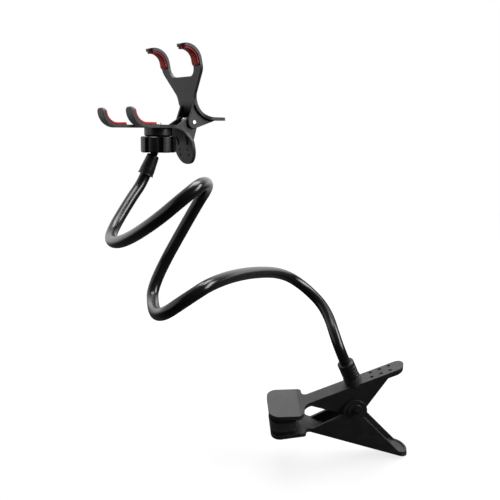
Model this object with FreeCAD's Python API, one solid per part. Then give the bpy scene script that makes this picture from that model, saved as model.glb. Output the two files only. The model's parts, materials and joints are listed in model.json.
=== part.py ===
"""Desk phone holder: a spring desk clip, a bendable arm, a ball joint and a sprung clip with padded fingers.

Millimetres, +Z up.  The origin is on the underside of the desk clip's upper pad, which lies on the desk.
The clip's handles point along +X, its jaws open towards -X, and its hinge pin lies along Y.
"""
import FreeCAD, Part
import math
import os
from FreeCAD import Placement, Rotation, Vector

# Desk clip
paddle_front = 16.5
paddle_back = 13.5
paddle_width = 39.0
paddle_corner = 9.0
shoulder_corner = 6.0
neck_radius = 5.0
jaw_plate = 3.6
desk_pad_thickness = 4.2
desk_pad_inset = 0.6
desk_pad_length = 22.5
bend_place = 9.5
bend_radius = 8.0
upper_slope = 22.5
lower_slope = 27.5
upper_body_width = 13.4
cheek_thickness = 2.0
lower_cheek_thickness = 2.0
pin_place = 57.6
pin_height = 3.4
upper_tail_reach = 40.0
lower_tail_reach = 44.0
upper_hub_radius = 7.5
lower_hub_radius = 10.3
lower_web_radius = 1.2
hub_ring_radius = 6.4
hub_ring_height = 0.8
cheek_front = 40.0
upper_cheek_rear = 29.0
lower_cheek_rear = 38.0
rim_height = 1.2
rim_width = 1.8
desk_opening = 7.0
desk_pin_radius = 2.0
desk_pin_head_radius = 3.2
desk_pin_head_height = 1.2
dimple_radius = 1.7
dimple_depth = 0.8
dimple_pitch = 7.6
dimple_spread = 3.2
dimple_from_tail = 11.0
dimple_count = 3

# Springs
spring_facets = 8
desk_coil_radius = 4.6
desk_wire_radius = 0.9
desk_coil_turns = 2
desk_coil_pitch = 2.0
desk_leg_reach = 27.0
clip_coil_radius = 3.6
clip_wire_radius = 0.6
clip_coil_turns = 3
clip_coil_pitch = 2.0
clip_leg_reach = 4.0

# Arm, collar and ball joint
arm_radius = 4.5
collar_place = 57.0
collar_radius = 7.0
collar_length = 16.0
collar_floor = 4.0
collar_chamfer = 0.9
collar_boss_radius = 7.4
collar_boss_height = 5.6
collar_groove_count = 4
collar_groove_pitch = 2.8
collar_groove_width = 0.9
collar_groove_depth = 0.5
collar_lead = 18.0
screw_radius = 1.3
screw_head_radius = 2.8
screw_head_height = 1.8
slot_width = 0.7
slot_depth = 0.9
collar_screw_bite = 9.0
pilot_spare = 1.0
ball_back = 103.0
ball_side = 75.0
ball_height = 217.0
stem_lean = 32.0
stem_heading = 40.0
stem_lead = 8.0
ball_radius = 6.5
neck_rod_radius = 3.0
shoulder_distance = 10.5
shoulder_radius = 5.0
shoulder_round = 1.5
ferrule_radius = 6.1
ferrule_taper = 13.0
ferrule_length = 28.0
ferrule_lip = 0.4
ferrule_lip_height = 1.0
ferrule_socket = 14.0
liner_thickness = 1.3
liner_top = 4.5
liner_bottom = 3.8
socket_height = 12.4
socket_flange_radius = 11.5
socket_flange_height = 6.7
socket_spigot_radius = 9.6
socket_spigot_end = 0.5
socket_floor = 5.2
socket_chamfer = 0.9
nut_radius = 11.8
nut_bottom = 7.5
nut_lip_radius = 6.6
nut_mouth_radius = 10.0
nut_lobe_count = 8
nut_lobe_reach = 2.6
nut_lobe_width = 6.5
nut_chamfer = 0.8
socket_screw_bite = 4.4

# Phone clip
clip_yaw = 211.4
clip_pitch = -9.7
clip_roll = 12.9
clip_opening = 78.5
clip_plate = 2.6
clip_plate_drop = 5.0
socket_place = 28.0
upper_handle_start = 17.0
lower_handle_start = 21.0
handle_radius = 18.0
handle_turn = 78.0
handle_length = 35.0
handle_half_width = 15.0
handle_flare_start = 9.0
handle_flare_end = 15.0
handle_flare_radius = 8.0
clip_body_half_width = 13.0
finger_spread = 25.5
finger_width = 10.5
finger_start = 47.0
finger_tip_corner = 3.5
fork_start = 21.0
fork_end = 42.0
fork_corner = 10.0
fork_notch = 37.0
fork_notch_corner = 8.0
lower_hook_reach = 67.5
upper_hook_reach = 64.0
hook_radius = 14.0
hook_height = 11.0
finger_pad_thickness = 2.0
finger_pad_width = 9.3
finger_pad_start = 45.0
finger_pad_short = 1.2
finger_pad_corner = 0.6
clip_cheek_thickness = 2.2
clip_lower_cheek_inner = 6.2
clip_boss_radius = 5.2
clip_cheek_foot = 16.0
clip_cheek_heel = 7.0
clip_pin_radius = 1.5
clip_pin_stand = 0.5
grip_dimple_radius = 1.0
grip_dimple_depth = 0.6
grip_dimple_start = 0.0
grip_dimple_pitch = 4.7
grip_dimple_spread = 6.5

# Clearances
side_clearance = 0.3
pin_clearance = 0.05
head_clearance = 0.2
ball_clearance = 0.25
thread_clearance = 0.1
hose_clearance = 0.05
spring_clearance = 0.3

X, Y, Z = Vector(1, 0, 0), Vector(0, 1, 0), Vector(0, 0, 1)
BIG = 200.0
nearly_half_round = 0.98


def in_side_plane(u, v):
    """A point of the upright plane along X."""
    return Vector(u, 0, v)


def in_plan(u, v):
    """A point of the level plane."""
    return Vector(u, v, 0)


def in_cross_plane(u, v):
    """A point of the upright plane along Y."""
    return Vector(0, u, v)


def rounded_face(corners, place):
    """A flat face whose outline has the corners (u, v, radius), each rounded by a tangent arc."""
    starts, arcs = [], []
    count = len(corners)
    for i, (u, v, radius) in enumerate(corners):
        corner = place(u, v)
        before = (place(*corners[i - 1][:2]) - corner).normalize()
        after = (place(*corners[(i + 1) % count][:2]) - corner).normalize()
        half = before.getAngle(after) / 2
        setback = radius / math.tan(half)
        middle = (before + after).normalize()
        nearest = corner + middle * (radius / math.sin(half) - radius)
        starts.append((corner + before * setback, corner + after * setback))
        arcs.append(nearest if radius > 0 else None)
    edges = []
    for i in range(count):
        first, last = starts[i]
        if arcs[i]:
            edges.append(Part.Arc(first, arcs[i], last).toShape())
        following = starts[(i + 1) % count][0]
        if last.distanceToPoint(following) > 1e-6:
            edges.append(Part.LineSegment(last, following).toShape())
    return Part.Face(Part.Wire(Part.__sortEdges__(edges)))


def strip_corners(path, thickness, tip_radius):
    """Outline corners of a strip bent along the path (u, v, middle bend radius), with rounded tips."""
    half = thickness / 2
    left, right = [], []
    for i, (u, v, radius) in enumerate(path):
        here = Vector(u, v, 0)
        before = here - Vector(*path[i - 1][:2], 0) if i else None
        after = Vector(*path[i + 1][:2], 0) - here if i + 1 < len(path) else None
        before = (before or after).normalize()
        after = (after or before).normalize()
        turn = math.atan2(before.cross(after).z, before.dot(after))
        normal = Vector(-before.y - after.y, before.x + after.x, 0).normalize()
        offset = normal * (half / math.cos(turn / 2))
        end = i in (0, len(path) - 1)
        inner = math.copysign(half, turn)
        left.append((*(here + offset)[:2], tip_radius if end else radius - inner))
        right.append((*(here - offset)[:2], tip_radius if end else radius + inner))
    return left + right[::-1]


def extrude_wide(face, width):
    """The side-plane face thickened evenly to both sides along Y."""
    face = face.copy()
    face.translate(Y * (-width / 2))
    return face.extrude(Y * width)


def between(face, low, high):
    """The side-plane face as a wall from y = low to y = high."""
    face = face.copy()
    face.translate(Y * low)
    return face.extrude(Y * (high - low))


def both_sides(wall):
    """A wall and its twin across the plane y = 0."""
    return [wall, wall.mirror(Vector(), Y)]


def rod(radius, low, high):
    """A round bar along Y."""
    return Part.makeCylinder(radius, high - low, Vector(0, low, 0), Y)


def tangent_point(point, radius, side):
    """Where a line from the (u, v) point touches the circle about the origin, on the given side."""
    distance = math.hypot(*point)
    angle = math.atan2(point[1], point[0]) + side * math.acos(radius / distance)
    return radius * math.cos(angle), radius * math.sin(angle)


def hub_web(first, last, between_feet, hub_radius, web_radius, low, high):
    """A wall from y = low to y = high: a round hub at the origin and a web to two feet, (x, z) points.

    The web's free edges pass the hub's middle at web_radius.
    """
    points = [first, tangent_point(first, web_radius, 1), tangent_point(last, web_radius, -1), last]
    points += between_feet
    web = Part.Face(Part.makePolygon([in_side_plane(*p) for p in points + points[:1]]))
    return between(web, low, high).fuse(rod(hub_radius, low, high)).removeSplitter()


def torsion_spring(coil_radius, wire_radius, turns, pitch, first_end, last_end):
    """A coil about Y with two straight legs, tangent to the coil, that end at the given (x, z) points."""
    def touch(end, leaving):
        for side in (1, -1):
            point = tangent_point(end, coil_radius, side)
            angle = math.atan2(point[1], point[0])
            run = (end[0] - point[0]) * -math.sin(angle) + (end[1] - point[1]) * math.cos(angle)
            if (run > 0) == leaving:
                return angle, abs(run)

    start, first_length = touch(first_end, False)
    finish, last_length = touch(last_end, True)
    sweep = 2 * math.pi * turns + (finish - start) % (2 * math.pi)
    height = pitch * sweep / (2 * math.pi)
    helix = Part.makeHelix(pitch, height, coil_radius)
    tangent = Vector(0, coil_radius, pitch / (2 * math.pi)).normalize()
    sideways = tangent.cross(X)
    rim = []
    for i in range(spring_facets + 1):
        angle = 2 * math.pi * (i + 0.5) / spring_facets
        across = X * math.cos(angle) + sideways * math.sin(angle)
        rim.append(X * coil_radius + across * (wire_radius / math.cos(math.pi / spring_facets)))
    section = Part.makePolygon(rim)
    coil = Part.Wire(helix.Edges).makePipeShell([section], True, True)
    first_leg = Part.Face(section).extrude(Y * -first_length)
    last_leg = Part.Face(section).extrude(Y * last_length)
    last_leg.rotate(Vector(), Z, math.degrees(sweep))
    last_leg.translate(Z * height)
    spring = coil.fuse([first_leg, last_leg])
    spring.translate(Z * (-height / 2))
    spring.rotate(Vector(), Z, math.degrees(start))
    spring.rotate(Vector(), X, 90)
    return spring


def revolved(points):
    """A solid of revolution about Z from an (r, z) outline; a third number rounds that corner."""
    corners = [(p[0], p[1], p[2] if len(p) > 2 else 0) for p in points]
    return rounded_face(corners, in_side_plane).revolve(Vector(), Z, 360)


def screw(bite, head_below):
    """A pan-head screw along Z: its head seats at z = 0 and its shank bites the other way."""
    crown = screw_head_radius - screw_head_height / 2
    points = [(0, bite), (screw_radius, bite), (screw_radius, 0), (screw_head_radius, 0)]
    points += [(screw_head_radius, -screw_head_height / 2), (crown, -screw_head_height)]
    points.append((0, -screw_head_height))
    slot = Part.makeBox(BIG, slot_width, slot_depth, Vector(-BIG / 2, -slot_width / 2, -screw_head_height))
    bolt = revolved(points).cut(slot)
    return bolt if head_below else bolt.mirror(Vector(), Z)


# Desk clip: places that its pieces share
plate_middle = desk_pad_thickness + jaw_plate / 2
upper_tail = pin_place + upper_tail_reach
lower_tail = pin_place + lower_tail_reach
upper_half = upper_body_width / 2
lower_inner_half = upper_half + side_clearance
lower_half = lower_inner_half + lower_cheek_thickness
pin_axis = Vector(pin_place, 0, pin_height)


def slope_height(x, slope):
    """Height of the jaw plate's middle above the desk at a place on its sloping body."""
    return plate_middle + (x - bend_place) * math.tan(math.radians(slope))


def paddle_outline(body_half, tail, inset=0.0):
    """Plan outline of a desk jaw: a broad paddle, a concave neck and a body with a rounded tail."""
    front, side = paddle_front - inset, paddle_width / 2 - inset
    corner, body, end = paddle_corner - inset, body_half - inset, tail - inset
    half = [(-front, side, corner), (paddle_back, side, shoulder_corner), (paddle_back, body, neck_radius)]
    half.append((end, body, body * nearly_half_round))
    return rounded_face([(u, -v, r) for u, v, r in half] + half[::-1], in_plan)


def through(face):
    """A tall prism of a plan face."""
    face = face.copy()
    face.translate(Z * -BIG)
    return face.extrude(Z * 2 * BIG)


def desk_jaw(slope, half_width, tail, cheek_wall, cheek_rear, hub_radius, web_radius, pin_level):
    """A moulded desk jaw, plate up and cheeks down, with a stiffening rim under its tail."""
    path = [(-BIG, plate_middle, 0), (bend_place, plate_middle, bend_radius)]
    path.append((BIG, slope_height(BIG, slope), 0))
    plate = extrude_wide(rounded_face(strip_corners(path, jaw_plate, 0), in_side_plane), BIG)
    outline = through(paddle_outline(half_width, tail))
    plate = plate.common(outline)
    drop = (jaw_plate + rim_height) / 2
    under = [(u, v - drop, r + drop) for u, v, r in path]
    rim = extrude_wide(rounded_face(strip_corners(under, rim_height, 0), in_side_plane), BIG)
    ring = outline.cut(through(paddle_outline(half_width, tail, rim_width)))
    behind = Part.makeBox(BIG, BIG, 2 * BIG, Vector(pin_place, -BIG / 2, -BIG))
    rim = rim.common(ring).common(behind)
    feet = [(u, slope_height(pin_place + u, slope) - pin_level) for u in (-cheek_front, cheek_rear)]
    web = hub_web(*feet, [], hub_radius, web_radius, half_width - cheek_wall, half_width)
    web.translate(Vector(pin_place, 0, pin_level))
    return plate.fuse([rim] + both_sides(web))


def desk_pin_hole(shape, level):
    """The shape with the hinge pin's running hole through it."""
    hole = rod(desk_pin_radius + pin_clearance, -BIG, BIG)
    hole.translate(Vector(pin_place, 0, level))
    return shape.cut(hole)


collar_frame = Placement(
    Vector(collar_place, 0, slope_height(collar_place, upper_slope)), Rotation(Y, -upper_slope))
collar_seat = jaw_plate / 2 + collar_boss_height


def placed(shape, frame):
    """The shape moved from its own frame to the frame given."""
    shape = shape.copy()
    shape.Placement = frame.multiply(shape.Placement)
    return shape


def desk_upper_jaw():
    """Upper jaw: plate, narrow cheeks, collar boss and grip dimples on the tail."""
    jaw = desk_jaw(upper_slope, upper_half, upper_tail, cheek_thickness, upper_cheek_rear,
                   upper_hub_radius, upper_hub_radius, pin_height)
    boss = Part.makeCylinder(collar_boss_radius, collar_seat)
    jaw = jaw.fuse(placed(boss, collar_frame)).removeSplitter()
    hole = Part.makeCylinder(screw_radius + hose_clearance, BIG, Vector(0, 0, -BIG / 2))
    cuts = [placed(hole, collar_frame)]
    for i in range(dimple_count):
        for side in (-1, 1):
            x = upper_tail - dimple_from_tail - i * dimple_pitch
            dimple = Part.makeCylinder(dimple_radius, BIG)
            dimple.translate(Z * (jaw_plate / 2 - dimple_depth))
            place = Vector(x, side * dimple_spread, slope_height(x, upper_slope))
            cuts.append(placed(dimple, Placement(place, Rotation(Y, -upper_slope))))
    return desk_pin_hole(jaw.cut(cuts), pin_height)


def lower_from_closed(shape):
    """A lower-jaw piece, drawn as an upper one, flipped under the desk and opened about the pin."""
    shape = shape.mirror(Vector(), Z)
    shape.rotate(pin_axis, Y, -desk_opening)
    return shape


def desk_lower_jaw():
    """Lower jaw: a wider channel whose cheeks straddle the upper jaw's, with a raised ring round the pin."""
    jaw = desk_jaw(lower_slope, lower_half, lower_tail, lower_cheek_thickness, lower_cheek_rear,
                   lower_hub_radius, lower_web_radius, -pin_height)
    ring = rod(hub_ring_radius, lower_half - lower_cheek_thickness, lower_half + hub_ring_height)
    ring.translate(Vector(pin_place, 0, -pin_height))
    jaw = jaw.fuse(both_sides(ring)).removeSplitter()
    return lower_from_closed(desk_pin_hole(jaw, -pin_height))


def desk_pad():
    """A soft pad under the paddle's flat stretch."""
    front, side = paddle_front - desk_pad_inset, paddle_width / 2 - desk_pad_inset
    corner = paddle_corner - desk_pad_inset
    half = [(-front, side, corner), (desk_pad_length - front, side, neck_radius)]
    outline = [(u, -v, r) for u, v, r in half] + half[::-1]
    return rounded_face(outline, in_plan).extrude(Z * desk_pad_thickness)


def desk_hinge_pin():
    """A riveted pin: a shank and two low heads outside the lower jaw's rings."""
    seat = lower_half + hub_ring_height + head_clearance
    brim = seat + desk_pin_head_height / 2
    crown = seat + desk_pin_head_height
    half = [(0, 0), (desk_pin_radius, 0), (desk_pin_radius, seat), (desk_pin_head_radius, seat)]
    half += [(desk_pin_head_radius, brim), (desk_pin_radius, crown), (0, crown)]
    half = revolved(half)
    half.rotate(Vector(), X, 90)
    pin = half.fuse(half.mirror(Vector(), Y)).removeSplitter()
    pin.translate(pin_axis)
    return pin


def plate_leg_end(slope, pin_level):
    """Where a spring leg ends, seen from the pin: just off the inner face of a jaw's plate, near its tail."""
    gap = jaw_plate / 2 / math.cos(math.radians(slope)) + desk_wire_radius + spring_clearance
    x = pin_place + desk_leg_reach
    return desk_leg_reach, slope_height(x, slope) - pin_level - gap


def desk_spring():
    """Torsion spring on the hinge pin, with a leg against each handle."""
    lower = plate_leg_end(lower_slope, -pin_height)
    angle = math.radians(desk_opening)
    turned = (lower[0] * math.cos(angle) + lower[1] * math.sin(angle),
              lower[0] * math.sin(angle) - lower[1] * math.cos(angle))
    upper = plate_leg_end(upper_slope, pin_height)
    spring = torsion_spring(desk_coil_radius, desk_wire_radius, desk_coil_turns, desk_coil_pitch,
                            upper, turned)
    spring.translate(pin_axis)
    return spring


def arm_collar():
    """Ribbed collar that holds the arm's lower end on the boss."""
    outline = [(screw_radius + hose_clearance, 0), (collar_radius, 0)]
    z = (collar_length - collar_groove_pitch * collar_groove_count) / 2
    for i in range(collar_groove_count):
        low = z + i * collar_groove_pitch
        deep = collar_radius - collar_groove_depth
        outline += [(collar_radius, low), (deep, low), (deep, low + collar_groove_width)]
        outline.append((collar_radius, low + collar_groove_width))
    bore = arm_radius + hose_clearance
    brow = collar_length - collar_chamfer
    outline += [(collar_radius, brow), (collar_radius - collar_chamfer, collar_length), (bore, collar_length)]
    outline.append((bore, collar_floor))
    outline.append((screw_radius + hose_clearance, collar_floor))
    collar = revolved(outline)
    collar.translate(Z * collar_seat)
    return placed(collar, collar_frame)


def collar_screw():
    """Screw from under the jaw's plate, through the boss and the collar, into the arm's end."""
    bolt = screw(jaw_plate + collar_boss_height + collar_floor + collar_screw_bite, True)
    bolt.translate(Z * (-jaw_plate / 2))
    return placed(bolt, collar_frame)


# Arm: both ends come from the pieces that hold it, and the bends between are shares of the ball's place
ball_centre = Vector(-ball_back, ball_side, ball_height)
collar_axis = collar_frame.Rotation.multVec(Z)
arm_foot = collar_frame.multVec(Z * (collar_seat + collar_floor))
arm_out_of_collar = collar_frame.multVec(Z * (collar_seat + collar_length + collar_lead))
stem_axis = Rotation(Z, stem_heading).multVec(Rotation(Y, stem_lean).multVec(Z))
arm_into_stem = ball_centre - stem_axis * (ferrule_length + stem_lead)
arm_tip = ball_centre - stem_axis * ferrule_socket
bend_shares = [
    (-0.35, 0.44, 0.369), (-0.175, 0.64, 0.438), (0.019, 0.573, 0.512), (0.32, -0.32, 0.673),
    (0.583, -1.19, 0.797), (0.767, -1.35, 0.765), (0.942, -1.27, 0.691), (1.04, -0.347, 0.544),
    (1.05, -0.053, 0.59), (0.699, 0.2, 0.857), (0.612, 0.093, 0.935), (0.631, -0.893, 1.08),
    (0.767, -1.07, 1.05), (0.951, -1.01, 0.968), (1.18, -0.56, 0.839), (1.32, -0.16, 0.77),
    (1.36, 0.213, 0.751), (1.22, 0.645, 0.825),
]
arm_bends = [Vector(-ball_back * u, ball_side * v, ball_height * w) for u, v, w in bend_shares]
arm_route = [arm_foot, arm_out_of_collar] + arm_bends + [arm_into_stem, arm_tip]
arc_share = 0.48


def arm_path():
    """The arm's middle line: straight runs joined by tangent arcs as large as the runs allow."""
    edges, last = [], arm_route[0]
    for before, here, after in zip(arm_route, arm_route[1:], arm_route[2:]):
        back, ahead = before - here, after - here
        setback = arc_share * min(back.Length, ahead.Length)
        back.normalize()
        ahead.normalize()
        half = back.getAngle(ahead) / 2
        radius = setback * math.tan(half)
        middle = (back + ahead).normalize()
        nearest = here + middle * (radius / math.sin(half) - radius)
        first, second = here + back * setback, here + ahead * setback
        edges.append(Part.LineSegment(last, first).toShape())
        edges.append(Part.Arc(first, nearest, second).toShape())
        last = second
    edges.append(Part.LineSegment(last, arm_route[-1]).toShape())
    return Part.Wire(edges)


def gooseneck_arm():
    """The bendable arm: a round rod along the path, with a pilot hole for the collar's screw."""
    path = arm_path()
    section = Part.Wire(Part.makeCircle(arm_radius, arm_route[0], arm_route[1] - arm_route[0]))
    arm = path.makePipeShell([section], True, False)
    depth = collar_screw_bite + pilot_spare
    pilot = Part.makeCylinder(screw_radius + hose_clearance, depth, arm_foot, collar_axis)
    return arm.cut(pilot)


# Ball joint: the stem in its own line, the rest square to the phone clip
clip_turn = Rotation(clip_yaw, clip_pitch, clip_roll)
ball_frame = Placement(ball_centre, clip_turn)
stem_frame = Placement(ball_centre, Rotation(Z, stem_axis))
liner_inner = ball_radius + ball_clearance
liner_outer = liner_inner + liner_thickness
seat_radius = liner_outer + ball_clearance
spigot_top = socket_height - socket_flange_height
seat_apex = seat_radius * math.sqrt(2)


def ball_stem():
    """Ball, neck and tapered ferrule in one moulding, with a blind socket for the arm's upper end."""
    bore = arm_radius + hose_clearance
    lip = ferrule_radius + ferrule_lip
    outline = [(0, -ferrule_socket), (bore, -ferrule_socket), (bore, -ferrule_length), (lip, -ferrule_length)]
    brim = ferrule_lip_height - ferrule_length
    outline += [(lip, brim), (ferrule_radius, brim)]
    outline.append((ferrule_radius, -shoulder_distance - ferrule_taper))
    outline.append((shoulder_radius, -shoulder_distance, shoulder_round))
    outline += [(neck_rod_radius, -shoulder_distance), (neck_rod_radius, 0), (0, 0)]
    body = revolved(outline)
    ball = Part.makeSphere(ball_radius)
    return placed(body.fuse(ball).removeSplitter(), stem_frame)


def ball_liner():
    """Friction liner: a ring, spherical inside and out, between the ball and its socket."""
    shell = Part.makeSphere(liner_outer).cut(Part.makeSphere(liner_inner))
    zone = Part.makeCylinder(BIG, liner_top + liner_bottom, Vector(0, 0, -liner_bottom))
    return placed(shell.common(zone), ball_frame)


def socket_cup():
    """Socket under the clip: a flange, a spigot for the nut and a bored, conical seat for the liner."""
    floor = socket_height - socket_floor
    edge = spigot_top + socket_chamfer
    outline = [(screw_radius + hose_clearance, floor), (screw_radius + hose_clearance, socket_height)]
    outline += [(socket_flange_radius, socket_height), (socket_flange_radius, edge)]
    outline += [(socket_flange_radius - socket_chamfer, spigot_top), (socket_spigot_radius, spigot_top)]
    outline += [(socket_spigot_radius, -socket_spigot_end), (seat_radius, -socket_spigot_end)]
    outline += [(seat_radius, seat_apex - seat_radius), (seat_apex - floor, floor)]
    return placed(revolved(outline), ball_frame)


def lock_nut():
    """Lock nut: a lobed ring on the spigot, with a conical seat and a flared mouth under the ball."""
    top = spigot_top - head_clearance
    height = top + nut_bottom
    body = Part.makeCylinder(nut_radius, height, Vector(0, 0, -nut_bottom))
    reach = nut_radius + nut_lobe_reach
    lobes = []
    for i in range(nut_lobe_count):
        lobe = Part.makeBox(reach, nut_lobe_width, height, Vector(0, -nut_lobe_width / 2, -nut_bottom))
        lobe.rotate(Vector(), Z, 360 / nut_lobe_count * i)
        lobes.append(lobe)
    tip = nut_bottom - nut_chamfer
    turned = [(0, -nut_bottom), (reach - nut_chamfer, -nut_bottom), (reach, -tip), (reach, top - nut_chamfer)]
    turned += [(reach - nut_chamfer, top), (0, top)]
    body = body.fuse(lobes).common(revolved(turned)).removeSplitter()
    thread = socket_spigot_radius + thread_clearance
    bore = [(0, top), (thread, top), (thread, thread - seat_apex)]
    bore += [(nut_lip_radius, nut_lip_radius - seat_apex)]
    bore += [(nut_mouth_radius, -nut_bottom), (0, -nut_bottom)]
    return placed(body.cut(revolved(bore)), ball_frame)


def socket_screw():
    """Screw through the clip's plate into the socket."""
    bolt = screw(clip_plate + socket_screw_bite, False)
    bolt.translate(Z * (socket_height + clip_plate))
    return placed(bolt, ball_frame)


# Phone clip: its own frame has X to the front, Y along the hinge and Z from the lower plate to the upper
clip_hinge = ball_centre - clip_turn.multVec(Vector(socket_place, 0, -clip_plate_drop - socket_height))
clip_frame = Placement(clip_hinge, clip_turn)
clip_lower_cheek_outer = clip_lower_cheek_inner + clip_cheek_thickness
clip_upper_cheek_inner = clip_lower_cheek_outer + side_clearance
clip_upper_cheek_outer = clip_upper_cheek_inner + clip_cheek_thickness
clip_middle = clip_plate / 2 - clip_plate_drop
handle_angle = math.radians(handle_turn)
handle_run = Vector(-math.cos(handle_angle), 0, -math.sin(handle_angle))
handle_normal = Vector(math.sin(handle_angle), 0, -math.cos(handle_angle))


def bend_point(start, angle):
    """A point of the handle's bend, so far round from the place where the bend starts."""
    x = start - handle_radius * math.sin(angle)
    return Vector(x, 0, clip_middle - handle_radius * (1 - math.cos(angle)))


def handle_point(start, along, out=0.0):
    """A point of the handle's straight stretch: so far past its bend, so far outwards from its middle."""
    return bend_point(start, handle_angle) + handle_run * along + handle_normal * out


def clip_jaw(handle_start, hook_reach, cheek_inner, cheek_outer):
    """A phone-clip jaw: forked plate, two hooked fingers, curved handle with grip dimples, two cheeks."""
    bend_end = handle_point(handle_start, 0)
    tip = handle_point(handle_start, (handle_length + bend_end.z) / math.sin(handle_angle))
    corner = handle_start - handle_radius * math.tan(handle_angle / 2)
    hook_middle = hook_reach - clip_plate / 2
    path = [(hook_middle, hook_height, 0), (hook_middle, clip_middle, hook_radius - clip_plate / 2)]
    path += [(corner, clip_middle, handle_radius), (tip.x, tip.z, 0)]
    outer = finger_spread + finger_width / 2
    inner = finger_spread - finger_width / 2
    strip = rounded_face(strip_corners(path, clip_plate, clip_plate / 2 * nearly_half_round), in_side_plane)
    strip = extrude_wide(strip, 2 * outer)
    split = handle_start - handle_radius / 2
    body = clip_body_half_width
    half = [(split, body, 0), (fork_start, body, fork_corner), (fork_end, outer, fork_corner)]
    half += [(finger_start, outer, 0), (finger_start, inner, 0), (fork_notch, inner, fork_notch_corner)]
    front = through(rounded_face([(u, -v, r) for u, v, r in half] + half[::-1], in_plan))
    tip_half = [(inner, -BIG, 0), (outer, -BIG, 0), (outer, hook_height, finger_tip_corner)]
    tip_half.append((inner, hook_height, finger_tip_corner))
    finger = rounded_face(tip_half, in_cross_plane).extrude(X * hook_reach)
    finger.translate(X * finger_start)
    front = front.fuse(both_sides(finger))
    wide, flare = handle_half_width, handle_flare_radius
    rear_half = [(body, 0, 0), (body, -handle_flare_start, flare), (wide, -handle_flare_end, flare)]
    rear_half.append((wide, -handle_length, wide * nearly_half_round))
    rear = rounded_face([(-u, v, r) for u, v, r in rear_half] + rear_half[::-1], in_cross_plane)
    rear = rear.extrude(X * (split + BIG))
    rear.translate(X * -BIG)
    plate = strip.common(front).fuse(strip.common(rear)).removeSplitter()
    bend_middle = bend_point(handle_start, handle_angle / 2)
    heel = handle_point(handle_start, clip_cheek_heel)
    feet = (clip_cheek_foot, clip_middle), (heel.x, heel.z)
    middle = [(bend_middle.x, bend_middle.z)]
    web = hub_web(*feet, middle, clip_boss_radius, clip_boss_radius, cheek_inner, cheek_outer)
    jaw = plate.fuse(both_sides(web)).removeSplitter()
    cuts = [rod(clip_pin_radius + pin_clearance, -BIG, BIG)]
    for i in range(dimple_count):
        for side in (-1, 1):
            along = grip_dimple_start + i * grip_dimple_pitch
            foot = handle_point(handle_start, along, clip_plate / 2 - grip_dimple_depth)
            foot.y = side * grip_dimple_spread
            cuts.append(Part.makeCylinder(grip_dimple_radius, BIG, foot, handle_normal))
    return jaw.cut(cuts)


def upper_from_closed(shape):
    """An upper-jaw piece, drawn as if it were a lower one, flipped over the hinge and opened."""
    shape = shape.mirror(Vector(), Z)
    shape.rotate(Vector(), Y, -clip_opening)
    return placed(shape, clip_frame)


def clip_lower_jaw():
    """Lower jaw of the phone clip, with a flat seat and a screw hole for the socket under its plate."""
    jaw = clip_jaw(lower_handle_start, lower_hook_reach, clip_lower_cheek_inner, clip_lower_cheek_outer)
    hole = Part.makeCylinder(screw_radius + hose_clearance, BIG, Vector(socket_place, 0, -BIG / 2))
    below = Vector(socket_place, 0, -clip_plate_drop - BIG)
    seat = Part.makeCylinder(socket_flange_radius + side_clearance, BIG, below)
    return placed(jaw.cut([hole, seat]), clip_frame)


def clip_upper_jaw():
    """Upper jaw of the phone clip, whose cheeks straddle the lower jaw's."""
    jaw = clip_jaw(upper_handle_start, upper_hook_reach, clip_upper_cheek_inner, clip_upper_cheek_outer)
    return upper_from_closed(jaw)


def finger_pad(side, hook_reach):
    """A soft strip along the inside of one hooked finger."""
    lift = (clip_plate + finger_pad_thickness) / 2
    across, level = hook_reach - clip_plate / 2 - lift, clip_middle + lift
    radius = hook_radius - clip_plate / 2 - lift
    path = [(across, hook_height - finger_pad_short, 0), (across, level, radius)]
    path.append((finger_pad_start, level, 0))
    strip = rounded_face(strip_corners(path, finger_pad_thickness, finger_pad_corner), in_side_plane)
    middle = side * finger_spread
    return between(strip, middle - finger_pad_width / 2, middle + finger_pad_width / 2)


def clip_hinge_pin():
    """Steel pin through the four cheeks."""
    reach = clip_upper_cheek_outer + clip_pin_stand
    return placed(rod(clip_pin_radius, -reach, reach), clip_frame)


def clip_spring():
    """Torsion spring on the clip's pin, with a leg behind each handle."""
    gap = clip_plate / 2 + clip_wire_radius + spring_clearance
    lower = handle_point(lower_handle_start, clip_leg_reach, -gap)
    upper = handle_point(upper_handle_start, clip_leg_reach, -gap)
    angle = math.radians(clip_opening)
    turned = (upper.x * math.cos(angle) + upper.z * math.sin(angle),
              upper.x * math.sin(angle) - upper.z * math.cos(angle))
    spring = torsion_spring(clip_coil_radius, clip_wire_radius, clip_coil_turns, clip_coil_pitch,
                            turned, (lower.x, lower.z))
    return placed(spring, clip_frame)


nodes = {
    "desk_upper_jaw": desk_upper_jaw(),
    "desk_upper_pad": desk_pad(),
    "desk_lower_jaw": desk_lower_jaw(),
    "desk_lower_pad": lower_from_closed(desk_pad()),
    "desk_hinge_pin": desk_hinge_pin(),
    "desk_spring": desk_spring(),
    "arm_collar": arm_collar(),
    "collar_screw": collar_screw(),
    "gooseneck_arm": gooseneck_arm(),
    "ball_stem": ball_stem(),
    "ball_liner": ball_liner(),
    "lock_nut": lock_nut(),
    "socket_cup": socket_cup(),
    "socket_screw": socket_screw(),
    "clip_lower_jaw": clip_lower_jaw(),
    "clip_upper_jaw": clip_upper_jaw(),
    "clip_hinge_pin": clip_hinge_pin(),
    "clip_spring": clip_spring(),
}
for name, side in (("left", -1), ("right", 1)):
    nodes["lower_pad_" + name] = placed(finger_pad(side, lower_hook_reach), clip_frame)
    nodes["upper_pad_" + name] = upper_from_closed(finger_pad(side, upper_hook_reach))

os.makedirs("parts", exist_ok=True)
for name, shape in nodes.items():
    shape.exportStep("parts/" + name + ".step")
    print(name, "solids", len(shape.Solids), "valid", shape.isValid(), "volume", round(shape.Volume, 1))
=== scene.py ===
"""Looks of a clamp-on phone holder: satin mouldings, a glossy bent hose, red pads, bright metal."""
import json
import math

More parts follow.
